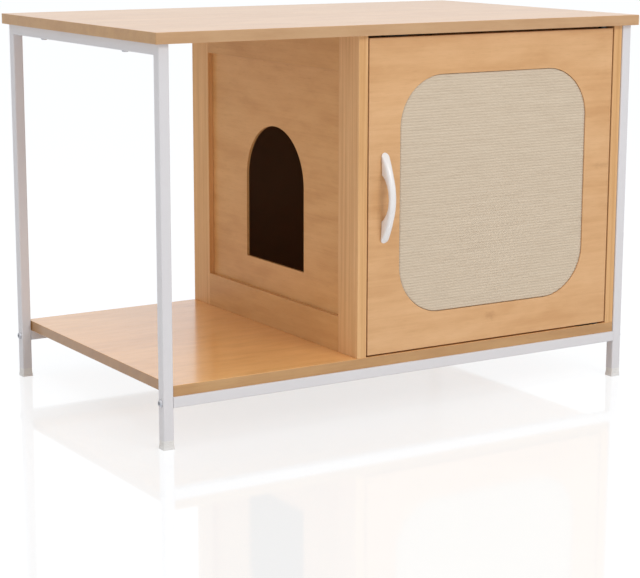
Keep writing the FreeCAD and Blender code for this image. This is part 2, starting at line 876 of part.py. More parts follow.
def magnet_block(play):
    half = magnet_length / 2 + play
    low = plate_z - magnet_height / 2 - play
    high = plate_z + magnet_height / 2 + play
    return box((catch_x - half, catch_x + half), (catch_front - play, catch_front + magnet_width),
               (low, high))


def catch_magnet():
    return magnet_block(0).cut(box((catch_x - overall_width, catch_x + overall_width),
                                   (catch_front - 1, catch_front), (0, overall_height)))


def catch_screws():
    screws = []
    for side in (-1, 1):
        seat = point(catch_x + side * catch_screw_reach, catch_screw_y,
                     top_under - catch_ear_height)
        screws.append(pan_screw(seat, Z_AXIS, catch_ear_height, catch_screw_bite))
    return Part.makeCompound(screws)


def catch_plate_holes():
    return [rod(screw_shank + 2 * thread_play, point(catch_x, door_back + 1, plate_z),
                point(catch_x, door_back - strike_bite - tip_play, plate_z))]


def catch_strike():
    """Steel plate on the door's inner face, drawn to the magnet, with a countersunk hole."""
    outline = Part.Face(rounded_rectangle(catch_plate_length, catch_plate_height,
                                          catch_plate_corner))
    start = point(catch_x, door_back, plate_z)
    outline.translate(start)
    plate = outline.extrude(point(0, catch_plate, 0))
    return plate.cut(cone(screw_shank + 2 * hole_play, strike_head + 2 * strike_head_play, start,
                          start + point(0, catch_plate, 0)))


def strike_screw():
    start = point(catch_x, door_back, plate_z)
    return fuse_all([
        cone(screw_shank, strike_head, start, start + point(0, catch_plate, 0)),
        rod(screw_shank, start - point(0, strike_bite, 0), start),
    ])


# ================================================================ pivot hinges
pivot_x = door_right - pivot_from_edge
pivot_y = (door_front + door_back) / 2


def pivot_level(side):
    """Board face and door edge at one pivot; side is -1 at the bottom, 1 at the top."""
    if side > 0:
        return top_under, door_top
    return bottom_top, door_bottom


def plate_outline(play):
    """Round-ended plate outline in the XY plane."""
    radius = pivot_plate_width / 2 + play
    right = pivot_x + pivot_plate_end - pivot_plate_width / 2
    left = right - pivot_plate_length + pivot_plate_width
    outline = Part.Wire([
        Part.makeLine(point(left, pivot_y - radius, 0), point(right, pivot_y - radius, 0)),
        Part.Arc(point(right, pivot_y - radius, 0), point(right + radius, pivot_y, 0),
                 point(right, pivot_y + radius, 0)).toShape(),
        Part.makeLine(point(right, pivot_y + radius, 0), point(left, pivot_y + radius, 0)),
        Part.Arc(point(left, pivot_y + radius, 0), point(left - radius, pivot_y, 0),
                 point(left, pivot_y - radius, 0)).toShape(),
    ])
    return Part.Face(outline)


def small_screw_at(x, side, play):
    """Countersunk screw from a plate's outer face into the board, as a solid."""
    face = pivot_level(side)[0]
    seat = point(x, pivot_y, face)
    neck = point(x, pivot_y, face + side * pivot_plate)
    end_play = tip_play if play else 0
    tip = point(x, pivot_y, face + side * (pivot_plate + small_screw_bite + end_play))
    head = cone(small_screw_head + 2 * play, small_screw + 2 * play, seat, neck)
    return head.fuse(rod(small_screw + 2 * play, neck, tip)).removeSplitter()


def pivot_recess(side):
    """Recess and pilot holes in a board for its pivot plate."""
    face = pivot_level(side)[0]
    recess = plate_outline(hole_play)
    recess.translate(point(0, 0, face - side))
    tools = [recess.extrude(point(0, 0, side * (pivot_plate + 1)))]
    for distance in pivot_screws:
        tools.append(small_screw_at(pivot_x - distance, side, thread_play))
    return tools


def pivot_plates():
    plates = []
    for side in (-1, 1):
        face = pivot_level(side)[0]
        outline = plate_outline(0)
        outline.translate(point(0, 0, face))
        plate = outline.extrude(point(0, 0, side * pivot_plate))
        for distance in pivot_screws:
            plate = plate.cut(small_screw_at(pivot_x - distance, side, thread_play))
        rivet = rod(pivot_pin, point(pivot_x, pivot_y, face - side),
                    point(pivot_x, pivot_y, face + side * (pivot_plate + 1)))
        plates.append(plate.cut(rivet))
    return Part.makeCompound(plates)


def pivot_pins():
    """Pins riveted in the plates; a collar carries the door's bush."""
    pins = []
    for side in (-1, 1):
        face, edge = pivot_level(side)

        def level(z):
            return point(pivot_x, pivot_y, z)
        collar_end = edge + side * (bush_flange_height + pivot_end_play)
        tip = edge - side * (pivot_reach - bush_wall - pivot_tip_play)
        shank = rod(pivot_pin, level(face + side * pivot_plate), level(tip + side * pivot_nose))
        nose = cone(pivot_pin, pivot_pin - 2 * pivot_nose, level(tip + side * pivot_nose),
                    level(tip))
        collar = rod(pivot_collar, level(face), level(collar_end))
        pins.append(fuse_all([shank, nose, collar]))
    return Part.makeCompound(pins)


def pivot_bushes():
    """Flanged plastic bushes pressed into the door's top and bottom edges."""
    bushes = []
    for side in (-1, 1):
        edge = pivot_level(side)[1]

        def level(z):
            return point(pivot_x, pivot_y, z)
        sleeve = rod(bush_outer, level(edge), level(edge - side * pivot_reach))
        flange = rod(bush_flange, level(edge), level(edge + side * bush_flange_height))
        bore = rod(pivot_pin + 2 * pivot_running_play, level(edge + side * 2 * bush_flange_height),
                   level(edge - side * (pivot_reach - bush_wall)))
        bushes.append(fuse_all([sleeve, flange]).cut(bore))
    return Part.makeCompound(bushes)


def bush_bores():
    bores = []
    for side in (-1, 1):
        edge = pivot_level(side)[1]
        bores.append(rod(bush_outer + 2 * thread_play, point(pivot_x, pivot_y, edge + side),
                         point(pivot_x, pivot_y, edge - side * (pivot_reach + bush_tip_play))))
    return bores


def pivot_plate_screws():
    screws = []
    for side in (-1, 1):
        for distance in pivot_screws:
            screws.append(small_screw_at(pivot_x - distance, side, 0))
    return Part.makeCompound(screws)


# ================================================================ the nodes
def all_nodes():
    nodes = {
        "top_panel": top_panel(),
        "bottom_panel": bottom_panel(),
        "right_side_panel": right_side_panel(),
        "back_panel": back_panel(),
        "divider_front_stile": divider_stile(-1),
        "divider_back_stile": divider_stile(1),
        "divider_bottom_rail": divider_rail(-1),
        "divider_top_rail": divider_rail(1),
        "entry_panel": entry_panel(),
        "front_lower_rail": lower_rail(-1),
        "back_lower_rail": lower_rail(1),
        "left_top_rail": top_rail(-1),
        "right_top_rail": top_rail(1),
        "rail_plugs": rail_plugs(),
        "frame_bolts": frame_bolts(),
        "top_panel_screws": top_panel_screws(),
        "bottom_panel_screws": bottom_panel_screws(),
        "confirmat_screws": confirmat_screws(),
        "cam_locks": cam_locks(),
        "cam_bolts": cam_bolts(),
        "dowels": dowels(),
        "door_panel": door_panel(),
        "sisal_mat": sisal_mat(),
        "door_handle": door_handle(),
        "handle_screws": handle_screws(),
        "pivot_plates": pivot_plates(),
        "pivot_pins": pivot_pins(),
        "pivot_bushes": pivot_bushes(),
        "pivot_plate_screws": pivot_plate_screws(),
        "catch_body": door_catch(),
        "catch_magnet": catch_magnet(),
        "catch_screws": catch_screws(),
        "catch_plate": catch_strike(),
        "catch_plate_screw": strike_screw(),
    }
    for side_x, across in ((-1, "left"), (1, "right")):
        for side_y, along in ((-1, "front"), (1, "back")):
            nodes[along + "_" + across + "_leg"] = leg(side_x, side_y)
            nodes[along + "_" + across + "_foot"] = foot_cap(side_x, side_y)
    return nodes


os.makedirs("parts", exist_ok=True)
for name, shape in all_nodes().items():
    placed = shape.copy()
    placed.translate(point(0, -origin_y, 0))
    placed.exportStep(os.path.join("parts", name + ".step"))
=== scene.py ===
# %% [markdown]
# # A litter box cabinet, dressed for its picture
# The construction model gives every board, tube and fitting at its real size. This lesson adds
# what a camera sees: a coated oak grain, a woven sisal mat, powder coat, lacquer and light.
# The first cell loads the model; the last cell prints the box of everything shown but the floor.

# %% Load the construction model
import math

import bmesh
import bpy
from mathutils import Matrix, Vector, noise


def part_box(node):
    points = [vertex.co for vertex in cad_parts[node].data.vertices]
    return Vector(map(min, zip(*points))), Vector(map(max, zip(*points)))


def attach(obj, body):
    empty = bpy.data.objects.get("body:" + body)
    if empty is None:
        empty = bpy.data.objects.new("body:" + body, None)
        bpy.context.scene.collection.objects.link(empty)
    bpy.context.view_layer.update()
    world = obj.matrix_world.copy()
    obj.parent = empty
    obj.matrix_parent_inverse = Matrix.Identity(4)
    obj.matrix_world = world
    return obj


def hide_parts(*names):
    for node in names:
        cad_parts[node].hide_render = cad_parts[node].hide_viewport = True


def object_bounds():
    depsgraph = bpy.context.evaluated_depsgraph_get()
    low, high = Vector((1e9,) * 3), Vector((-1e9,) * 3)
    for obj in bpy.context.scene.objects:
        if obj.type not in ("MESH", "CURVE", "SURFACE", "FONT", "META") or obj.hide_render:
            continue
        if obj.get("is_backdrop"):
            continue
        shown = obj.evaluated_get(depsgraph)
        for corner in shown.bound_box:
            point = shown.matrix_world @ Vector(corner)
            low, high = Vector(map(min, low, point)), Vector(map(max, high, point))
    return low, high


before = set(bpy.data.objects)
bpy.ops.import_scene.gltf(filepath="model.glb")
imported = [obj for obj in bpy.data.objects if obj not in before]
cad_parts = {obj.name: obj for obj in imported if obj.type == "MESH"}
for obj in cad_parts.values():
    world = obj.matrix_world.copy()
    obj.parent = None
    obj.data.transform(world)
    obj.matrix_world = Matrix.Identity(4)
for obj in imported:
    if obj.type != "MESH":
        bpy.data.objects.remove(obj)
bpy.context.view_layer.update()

MM = 0.001

# %% [markdown]
# ## The camera
# A camera is a place, three angles and a lens. These come from a least-squares fit of straight
# edges on the cabinet, so the lens is worked out from a focal length in pixels at 640 wide.
# The picture is taken from the left, a little above the top board.

# %% Set up the camera
PICTURE_WIDTH = 640
FOCAL_PIXELS = 1880.633
SENSOR = 36.0
YAW, PITCH, ROLL = -0.55784, -0.20106, -0.002235
CAMERA_PLACE = (-1.48543, -2.37448, 0.70694)
NEAREST, FARTHEST = 0.05, 60.0


def camera_axes(yaw, pitch, roll):
    """Columns right, forward and up of a camera that first looks along +Y."""
    turn = Matrix.Rotation(yaw, 3, "Z") @ Matrix.Rotation(pitch, 3, "X") @ Matrix.Rotation(roll, 3, "Y")
    return turn.col[0], turn.col[1], turn.col[2]


camera_data = bpy.data.cameras.new("picture_camera")
camera_data.sensor_width = SENSOR
camera_data.lens = FOCAL_PIXELS / PICTURE_WIDTH * SENSOR
camera_data.clip_start = NEAREST
camera_data.clip_end = FARTHEST
camera = bpy.data.objects.new("picture_camera", camera_data)
bpy.context.scene.collection.objects.link(camera)
right, forward, up = camera_axes(YAW, PITCH, ROLL)
pose = Matrix((right, up, -forward)).transposed().to_4x4()
pose.translation = Vector(CAMERA_PLACE)
camera.matrix_world = pose
bpy.context.scene.camera = camera
print("lens:", round(camera_data.lens, 2), "mm")

# %% [markdown]
# ## Shader maths that reads like maths
# A node tree gets long when every sum is a node that is placed by hand. One small class wraps a
# socket and overloads + - * so that a line of Python adds the Math nodes. A second class holds
# one material and has a single method that adds any other node: type, settings, inputs. The
# mean of a noise is 0.5, which is what gets taken off where a noise should go both ways.

# %% Two helpers for materials
NOISE_MEAN = 0.5


def linear(red, green, blue):
    """Picture colour, 0 to 255, as the linear values that a shader works in."""
    def channel(value):
        value = value / 255
        return value / 12.92 if value <= 0.04045 else ((value + 0.055) / 1.055) ** 2.4
    return (channel(red), channel(green), channel(blue), 1.0)


class Wire:
    """An output socket that does arithmetic."""

    def __init__(self, finish, socket):
        self.finish = finish
        self.socket = socket

    def calculate(self, operation, *values):
        return self.finish.add("ShaderNodeMath", {"operation": operation}, dict(enumerate(values)))

    def __add__(self, other):
        return self.calculate("ADD", self, other)

    def __sub__(self, other):
        return self.calculate("SUBTRACT", self, other)

    def __rsub__(self, other):
        return self.calculate("SUBTRACT", other, self)

    def __mul__(self, other):
        return self.calculate("MULTIPLY", self, other)

    def between(self, low, high):
        """0 below low, 1 above high, smooth in between."""
        return self.finish.add("ShaderNodeMapRange", {"interpolation_type": "SMOOTHSTEP"},
                               {"Value": self, "From Min": low, "From Max": high})


class Finish:
    """A material with one Principled shader."""

    def __init__(self, name, **shader):
        self.material = bpy.data.materials.new(name)
        self.material.use_nodes = True
        self.tree = self.material.node_tree
        self.shader = self.tree.nodes["Principled BSDF"]
        self.set(**shader)

    def set(self, **shader):
        for name, value in shader.items():
            self.put(self.shader.inputs[name.replace("_", " ")], value)

    def put(self, socket, value):
        if isinstance(value, Wire):
            self.tree.links.new(value.socket, socket)
        else:
            socket.default_value = value

    def add(self, kind, settings=None, inputs=None, output=0):
        node = self.tree.nodes.new(kind)
        for name, value in (settings or {}).items():
            if name == "stops":
                self.fill_ramp(node.color_ramp, value)
            else:
                setattr(node, name, value)
        for name, value in (inputs or {}).items():
            self.put(node.inputs[name], value)
        return Wire(self, node.outputs[output])

    @staticmethod
    def fill_ramp(ramp, stops):
        while len(ramp.elements) < len(stops):
            ramp.elements.new(1.0)
        for element, (position, colour) in zip(ramp.elements, stops):
            element.position = position
            element.color = colour

    def place(self, scale=(1.0, 1.0, 1.0), shift=(0.0, 0.0, 0.0)):
        """Object coordinates, stretched and moved."""
        coordinates = self.add("ShaderNodeTexCoord", output="Object")
        return self.add("ShaderNodeMapping", {"vector_type": "POINT"},
                        {"Vector": coordinates, "Scale": scale, "Location": shift})

    def noise(self, where, scale=1.0, detail=2.0, roughness=0.5, distortion=0.0):
        return self.add("ShaderNodeTexNoise", None,
                        {"Vector": where, "Scale": scale, "Detail": detail,
                         "Roughness": roughness, "Distortion": distortion})

    def blend(self, factor, first, second, mode="MIX"):
        """Mixes two colours; a Mix node has them at inputs 6 and 7, and the result at output 2."""
        node = self.tree.nodes.new("ShaderNodeMix")
        node.data_type = "RGBA"
        node.blend_type = mode
        self.put(node.inputs[0], factor)
        self.put(node.inputs[6], first)
        self.put(node.inputs[7], second)
        return Wire(self, node.outputs[2])

    def bump(self, height, distance, strength=1.0):
        return self.add("ShaderNodeBump", None,
                        {"Height": height, "Distance": distance, "Strength": strength})


print("helpers ready")

# %% [markdown]
# ## Coated oak
# The boards are chipboard under a printed oak film. The film has five scales: wide soft bands,
# a cloudy figure, a fine mottle, thin streaks along the grain, and short dark pores pressed in
# a little. Noise that is stretched along the grain gives all five, and it reads Object
# coordinates, so the grain keeps its size on each board. Each scale is a pair: how many waves
# there are in a metre along the grain, and across it. Shade is painted on a board's edges,
# dimmed by how far the normal leans away from up, and a warmer painted shade goes on the short
# ends; a tint on each board paints the light and shade that board gets.

# %% A function for oak along any axis
OAK_LIGHT = linear(227, 181, 133)
OAK_MIDDLE = linear(220, 172, 123)
OAK_DARK = linear(209, 159, 109)
OAK_PORE = linear(176, 128, 82)
BLACK = (0.0, 0.0, 0.0, 1.0)
BAND_WAVES = (1.4, 9.0)
FIGURE_WAVES = (6.0, 22.0)
MOTTLE_WAVES = (14.0, 60.0)
STREAK_WAVES = (3.5, 240.0)
PORE_WAVES = (70.0, 1300.0)
BAND_SHARE = 0.30
FIGURE_SHARE = 0.50
MOTTLE_SHARE = 0.35
STREAK_SHARE = 0.20
GRAIN_OFFSET = 0.20
PORE_SHARE = 0.18
BAND_SHADE = 0.10
FILM_ROUGHNESS = 0.26
PORE_DEPTH = 0.03 * MM


def stretched(waves, axis):
    along, across = waves
    scale = [across, across, across]
    scale[axis] = along
    return tuple(scale)


def coated_oak(name, axis, shift, painted_light_tint=(1.0, 1.0, 1.0), edge=1.0, end=(1.0, 1.0, 1.0), swirl=1.0,
               stripes=0.0, knots=(), coat=0.0, shine=0.3, polish=0.20):
    """Oak film along one axis; edge paints shade on a flat board's upright faces, end paints a warmer
    shade on the short ones, and the tint paints the light and shade of the whole board.
    """
    finish = Finish(name, Coat_Weight=coat, Coat_Roughness=polish, Specular_IOR_Level=shine)

    def film(waves, **looks):
        return finish.noise(finish.place(stretched(waves, axis), shift), **looks)

    bands = film(BAND_WAVES)
    mottle = film(MOTTLE_WAVES, detail=3.0, distortion=0.3)
    streaks = film(STREAK_WAVES)
    pores = film(PORE_WAVES, detail=1.0).between(0.56, 0.76)
    figure = film(FIGURE_WAVES, detail=4.0, roughness=0.6, distortion=0.5)
    even = (FIGURE_SHARE + MOTTLE_SHARE) * NOISE_MEAN
    cloudy = (figure * FIGURE_SHARE + mottle * MOTTLE_SHARE) * swirl + (1.0 - swirl) * even
    striped = streaks * (STREAK_SHARE + stripes) - stripes * NOISE_MEAN
    grain = bands * BAND_SHARE + cloudy + striped - GRAIN_OFFSET
    colour = finish.add("ShaderNodeValToRGB", {"stops": [
        (0.34, OAK_DARK), (0.50, OAK_MIDDLE), (0.66, OAK_LIGHT)]}, {"Fac": grain})
    colour = finish.blend(pores * PORE_SHARE, colour, OAK_PORE)
    for centre, width, height, depth in knots:
        colour = finish.blend(knot_mask(finish, centre, width, height) * depth, colour, OAK_PORE)
    # Painted shade by normal: faces that turn to the sides take the end colour, and upright faces are
    # dimmed by edge, for the shade on a board's edges and ends.
    normal = finish.add("ShaderNodeTexCoord", output="Normal")
    sideways, upward = (finish.add("ShaderNodeMath", {"operation": "ABSOLUTE"}, {
        0: finish.add("ShaderNodeSeparateXYZ", None, {0: normal}, output=way)}) for way in "XZ")
    upright = 1.0 - upward
    colour = finish.blend(sideways, colour, (*end, 1.0), "MULTIPLY")
    colour = finish.blend(upright * (1.0 - edge), colour, BLACK)
    colour = finish.blend(bands * BAND_SHADE, colour, BLACK)
    # Painted light and shade: the tint lifts or dims each board's whole film to match the light that
    # board gets.
    colour = finish.blend(1.0, colour, (*painted_light_tint, 1.0), "MULTIPLY")
    finish.set(Base_Color=colour, Roughness=streaks * 0.10 + FILM_ROUGHNESS + pores * 0.10,
               Normal=finish.bump(streaks * 0.3 - pores * 0.8, PORE_DEPTH))
    return finish.material


KNOT_WAVES = (180.0, 180.0, 320.0)
KNOT_RAGGED = 1.8


def knot_mask(finish, centre, width, height):
    """A soft spot with a ragged outline."""
    where = finish.place((1 / width, 0.0, 1 / height),
                         shift=(-centre[0] / width, 0.0, -centre[1] / height))
    wobble = finish.noise(finish.place(KNOT_WAVES), detail=3.0)
    length = finish.add("ShaderNodeVectorMath", {"operation": "LENGTH"}, {0: where}, output="Value")
    distance = length + (wobble - NOISE_MEAN) * KNOT_RAGGED
    return 1.0 - distance.between(0.1, 1.3)


X, Y, Z = 0, 1, 2
# Painted light and shade per board: the shelf's tint is lifted, the arched panel and cross rails are
# tinted darker for the shade in the bay, and the stiles and door are lifted a little. The edge and end
# values paint shade on edges and ends, and the door's shift puts a lighter band at its top as painted
# light.
oak_along_x = coated_oak("oak_along_x", X, (0.3, 0.1, 0.7), painted_light_tint=(1.37, 1.25, 0.89), edge=0.55,
                         end=(0.76, 0.66, 0.42), coat=0.85, shine=0.4, polish=0.15)
oak_top = coated_oak("oak_top", X, (1.3, 2.1, 0.2), edge=0.80, end=(0.93, 0.84, 0.55), coat=0.35,
                     shine=0.5)
oak_door = coated_oak("oak_door", X, (2.2, 0.4, 5.3), painted_light_tint=(1.03, 1.02, 1.01),
                      knots=[((0.1430, 0.1227), 0.010, 0.008, 0.30),
                             ((0.3430, 0.3290), 0.020, 0.005, 0.30)])
oak_entry = coated_oak("oak_entry", Y, (0.9, 1.7, 0.4), painted_light_tint=(1.0, 0.94, 0.77), shine=0.15)
oak_cross_rails = coated_oak("oak_cross_rails", Y, (3.1, 0.2, 1.4), painted_light_tint=(0.96, 0.90, 0.72),
                             shine=0.15)
oak_upright = coated_oak("oak_upright", Z, (0.5, 2.7, 0.9), painted_light_tint=(1.06, 1.06, 1.00), swirl=0.25,
                         stripes=0.55, shine=0.15)
oak_upright_back = coated_oak("oak_upright_back", Z, (1.9, 0.6, 2.3), painted_light_tint=(1.08, 1.06, 0.94),
                              swirl=0.25, stripes=0.55, shine=0.15)
print("oak finishes: 7")

# %% [markdown]
# ## Metal, plastic and small parts
# Powder coat is baked paint: even in colour, slightly orange-peeled. Lacquer is a lighter white
# with a smoother skin. Zinc-plated steel is metallic with a faint mottle. Each gets a small
# noise in its bump, so a highlight breaks up as it does on the real thing.

# %% Finishes for metal and plastic
METAL_SHADE = linear(150, 150, 155)
SCUFF_DEPTH = 0.02 * MM
PLASTIC_SKIN = 0.03 * MM


def dimmed(colour, share):
    return (*(share * channel for channel in colour[:3]), 1.0)


def coated_metal(name, colour, roughness, peel, coat=0.0):
    finish = Finish(name, Coat_Weight=coat, Coat_Roughness=0.12)
    skin = finish.noise(finish.place(), scale=900.0, detail=1.0)
    cloud = finish.noise(finish.place(), scale=7.0, detail=2.0)
    finish.set(Base_Color=finish.blend(cloud * 0.5, colour, dimmed(colour, 0.93)),
               Roughness=cloud * 0.08 + roughness,
               Normal=finish.bump(skin, peel))
    return finish.material


def plated_metal(name, colour, roughness):
    finish = Finish(name, Metallic=1.0)
    mottle = finish.noise(finish.place(), scale=420.0, detail=3.0)
    scuff = finish.noise(finish.place((40.0, 900.0, 900.0)), detail=2.0)
    finish.set(Base_Color=finish.blend(mottle * 0.35, colour, METAL_SHADE),
               Roughness=mottle * 0.18 + roughness,
               Normal=finish.bump(scuff, SCUFF_DEPTH))
    return finish.material


def moulded_plastic(name, colour, roughness):
    finish = Finish(name)
    skin = finish.noise(finish.place(), scale=1300.0, detail=2.0)
    cloud = finish.noise(finish.place(), scale=30.0, detail=1.0)
    finish.set(Base_Color=finish.blend(cloud * 0.3, colour, dimmed(colour, 0.9)),
               Roughness=skin * 0.1 + roughness,
               Normal=finish.bump(skin, PLASTIC_SKIN))
    return finish.material


powder_coat = coated_metal("white_powder_coat", linear(221, 217, 218), 0.34, 0.03 * MM)
white_lacquer = coated_metal("white_lacquer", linear(236, 231, 228), 0.24, 0.01 * MM, coat=0.4)
zinc_steel = plated_metal("zinc_steel", linear(196, 196, 200), 0.26)
cast_zinc = plated_metal("cast_zinc", linear(176, 176, 178), 0.40)
foot_plastic = moulded_plastic("foot_plastic", linear(230, 226, 222), 0.45)
pale_plastic = moulded_plastic("pale_plastic", linear(224, 222, 216), 0.40)
dark_plastic = moulded_plastic("dark_plastic", linear(52, 44, 38), 0.50)
black_steel = plated_metal("black_steel", linear(70, 66, 64), 0.42)
dark_magnet = plated_metal("dark_magnet", linear(60, 58, 58), 0.45)
hardboard = moulded_plastic("brown_hardboard", linear(146, 108, 76), 0.55)
beech = coated_oak("beech_dowel", X, (4.0, 0.3, 0.8))
print("other finishes: 11")

# %% [markdown]
# ## Give every node its finish
# The construction nodes keep their meshes: only the material slots change. The grain runs the
# way it does on the real boards: along each board's long side, and across the cabinet on the
# door and the arched panel.

# %% Assign the finishes
dress = {
    oak_top: ["top_panel"],
    oak_along_x: ["bottom_panel"],
    hardboard: ["back_panel"],
    oak_door: ["door_panel"],
    oak_entry: ["entry_panel"],
    oak_cross_rails: ["divider_bottom_rail", "divider_top_rail"],
    oak_upright: ["divider_front_stile", "right_side_panel"],
    oak_upright_back: ["divider_back_stile"],
    powder_coat: ["front_lower_rail", "back_lower_rail", "left_top_rail", "right_top_rail",
                  "front_left_leg", "front_right_leg", "back_left_leg", "back_right_leg"],
    white_lacquer: ["door_handle"],
    foot_plastic: ["front_left_foot", "front_right_foot", "back_left_foot", "back_right_foot"],
    zinc_steel: ["frame_bolts", "top_panel_screws", "bottom_panel_screws", "confirmat_screws",
                 "cam_bolts", "handle_screws"],
    black_steel: ["pivot_plates", "pivot_pins", "pivot_plate_screws", "catch_screws",
                  "catch_plate", "catch_plate_screw"],
    cast_zinc: ["cam_locks"],
    pale_plastic: ["rail_plugs"],
    dark_plastic: ["pivot_bushes", "catch_body"],
    dark_magnet: ["catch_magnet"],
    beech: ["dowels"],
}
for material, names in dress.items():
    for name in names:
        mesh = bpy.data.objects[name].data
        mesh.materials.clear()
        mesh.materials.append(material)
print("dressed:", sum(len(names) for names in dress.values()))

# %% [markdown]
# ## The woven sisal mat
# Sisal yarn is woven into fine ribs that run across the door. A flat pad with a picture of ribs
# would not catch the light, so the ribs are real: a grid whose rows rise and fall, six rows to a
# rib, whose rows wander a little, because the yarn does, and whose valleys get painted shade.

# %% Weave the mat
mat_low, mat_high = (Vector(corner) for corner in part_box("sisal_mat"))
MAT_CORNER = 71.3 * MM
RIB_PITCH = 4.0 * MM
RIB_DEPTH = 0.8 * MM
ROWS_PER_RIB = 6
MAT_COLUMNS = 110
WANDER = 0.25 * MM
SWELL = 0.14
CREST_ROUNDNESS = 0.7
EDGE_ROLL = 0.7 * MM
EDGE_STEEPNESS = 12
FIBRE_DEPTH = 0.15 * MM
mat_half = (mat_high - mat_low) / 2
mat_middle = (mat_high + mat_low) / 2
rib_count = round(2 * mat_half.z / RIB_PITCH)


def half_width(height):
    """Half the mat's width at a height above or below its middle."""
    into_corner = abs(height) - (mat_half.z - MAT_CORNER)
    if into_corner <= 0:
        return mat_half.x
    return mat_half.x - MAT_CORNER + math.sqrt(max(MAT_CORNER ** 2 - into_corner ** 2, 0.0))


def weave(mesh):
    rows = rib_count * ROWS_PER_RIB
    bmesh.ops.create_grid(mesh, x_segments=MAT_COLUMNS, y_segments=rows, size=0.5)
    for vertex in mesh.verts:
        across = 2 * vertex.co.x
        height = 2 * vertex.co.y * mat_half.z
        phase = (vertex.co.y + 0.5) * rib_count
        x = across * half_width(height)
        inside = 1 - max(abs(across), abs(height) / mat_half.z) ** EDGE_STEEPNESS
        wander = noise.noise(Vector((x * 26, height * 40, 3.0))) * WANDER * inside
        swell = noise.noise(Vector((x * 150, math.floor(phase) * 7.7, 1.0)))
        crest = math.sin(math.pi * (phase % 1.0)) ** CREST_ROUNDNESS
        depth = RIB_DEPTH * (1 - crest * (1 - SWELL + SWELL * swell))
        roll = EDGE_ROLL * (1 - inside) ** 2
        vertex.co = Vector((mat_middle.x + x, mat_low.y + depth + roll, mat_middle.z + height + wander))


def close_back(mesh):
    """Sides and back of the mat, from the grid's open border."""
    border = [edge for edge in mesh.edges if edge.is_boundary]
    wall = bmesh.ops.extrude_edge_only(mesh, edges=border)["geom"]
    for vertex in (item for item in wall if isinstance(item, bmesh.types.BMVert)):
        vertex.co.y = mat_high.y
    back = [edge for edge in mesh.edges if edge.is_boundary]
    bmesh.ops.edgeloop_fill(mesh, edges=back)


def finished(name, mesh, material, smooth=True):
    """Turns a bmesh into an object at the origin."""
    bmesh.ops.recalc_face_normals(mesh, faces=mesh.faces)
    data = bpy.data.meshes.new(name)
    mesh.to_mesh(data)
    mesh.free()
    data.materials.append(material)
    for polygon in data.polygons:
        polygon.use_smooth = smooth
    made = bpy.data.objects.new(name, data)
    bpy.context.scene.collection.objects.link(made)
    print(name, "faces:", len(data.polygons))
    return made


def woven_sisal():
    finish = Finish("woven_sisal", Roughness=0.85, Specular_IOR_Level=0.25, Sheen_Weight=0.15)
    fibre = finish.noise(finish.place((160.0, 900.0, 1400.0)), detail=3.0, roughness=0.6)
    slub = finish.noise(finish.place((22.0, 40.0, 260.0)), detail=2.0)
    colour = finish.add("ShaderNodeValToRGB", {"stops": [
        (0.30, linear(200, 181, 158)), (0.50, linear(209, 191, 168)), (0.72, linear(216, 199, 177))]},
        {"Fac": fibre * 0.6 + slub * 0.4})
    # Painted shade: the colour darkens in the valleys between the ribs, where shade falls.
    height = finish.add("ShaderNodeSeparateXYZ", None, {0: finish.place()}, output="Z")
    turns = (height - mat_low.z) * (2 * math.pi * rib_count / (2 * mat_half.z))
    painted_groove_shade = finish.add("ShaderNodeMath", {"operation": "COSINE"}, {0: turns})
    colour = finish.blend(painted_groove_shade.between(-0.2, 1.0) * 0.10, colour, linear(150, 126, 98))
    finish.set(Base_Color=colour, Roughness=slub * 0.15 + 0.75,
               Normal=finish.bump(fibre, FIBRE_DEPTH, 0.6))
    return finish.material


mat_mesh = bmesh.new()
weave(mat_mesh)
close_back(mat_mesh)
mat = finished("woven_mat", mat_mesh, woven_sisal())
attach(mat, "door")
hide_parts("sisal_mat")

# %% [markdown]
# ## The bow handle
# The handle is a bar that two circles shape: one outside, one under the fingers. At each height
# the two circles give how far the bar reaches from the door, and a superellipse gives a section
# with soft corners. A circle is extruded from one section to the next, and its points are moved
# to their places, which makes the skin. The screws below are made the same way.

# %% Shape the bow
handle_low, handle_high = (Vector(corner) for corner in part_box("door_handle"))
handle_middle = (handle_low + handle_high) / 2
DOOR_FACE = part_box("door_panel")[0][1]
BOW_HALF = (handle_high.z - handle_low.z) / 2
BOW_RISE = DOOR_FACE - handle_low.y
GAP_HALF = 31.5 * MM
GRIP = 7.4 * MM
BOW_WIDTH = handle_high.x - handle_low.x
BOW_WAIST = 10.4 * MM
BOW_STATIONS = 88
RING_POINTS = 28
SOFT_CORNER = 0.72
SQUARE_CORNER = 0.22
END_MARGIN = 0.9995


def reach(half_chord, rise, height):
    """How far a circle through the door face stands out at a height."""
    if abs(height) >= half_chord:
        return 0.0
    radius = (half_chord ** 2 + rise ** 2) / (2 * rise)
    return math.sqrt(radius ** 2 - height ** 2) - (radius - rise)


def bow_width(height):
    """Full width: a slight waist, and round ends."""
    width = BOW_WAIST + (BOW_WIDTH - BOW_WAIST) * (height / BOW_HALF) ** 2
    into_end = abs(height) - (BOW_HALF - BOW_WIDTH / 2)
    if into_end > 0:
        width *= math.sqrt(max(1 - (into_end / (BOW_WIDTH / 2)) ** 2, 0.0))
    return width


def ring_edges(ring):
    """The edges between neighbours on a ring, in order."""
    return [next(edge for edge in one.link_edges if edge.other_vert(one) == two)
            for one, two in zip(ring, ring[1:] + ring[:1])]


def extruded(mesh, ring):
    """Extrudes a ring where it is; returns the new vertices in the same order."""
    made = bmesh.ops.extrude_edge_only(mesh, edges=ring_edges(ring))["geom"]
    fresh = {item for item in made if isinstance(item, bmesh.types.BMVert)}
    return [next(edge.other_vert(vertex) for edge in vertex.link_edges
                 if edge.other_vert(vertex) in fresh) for vertex in ring]


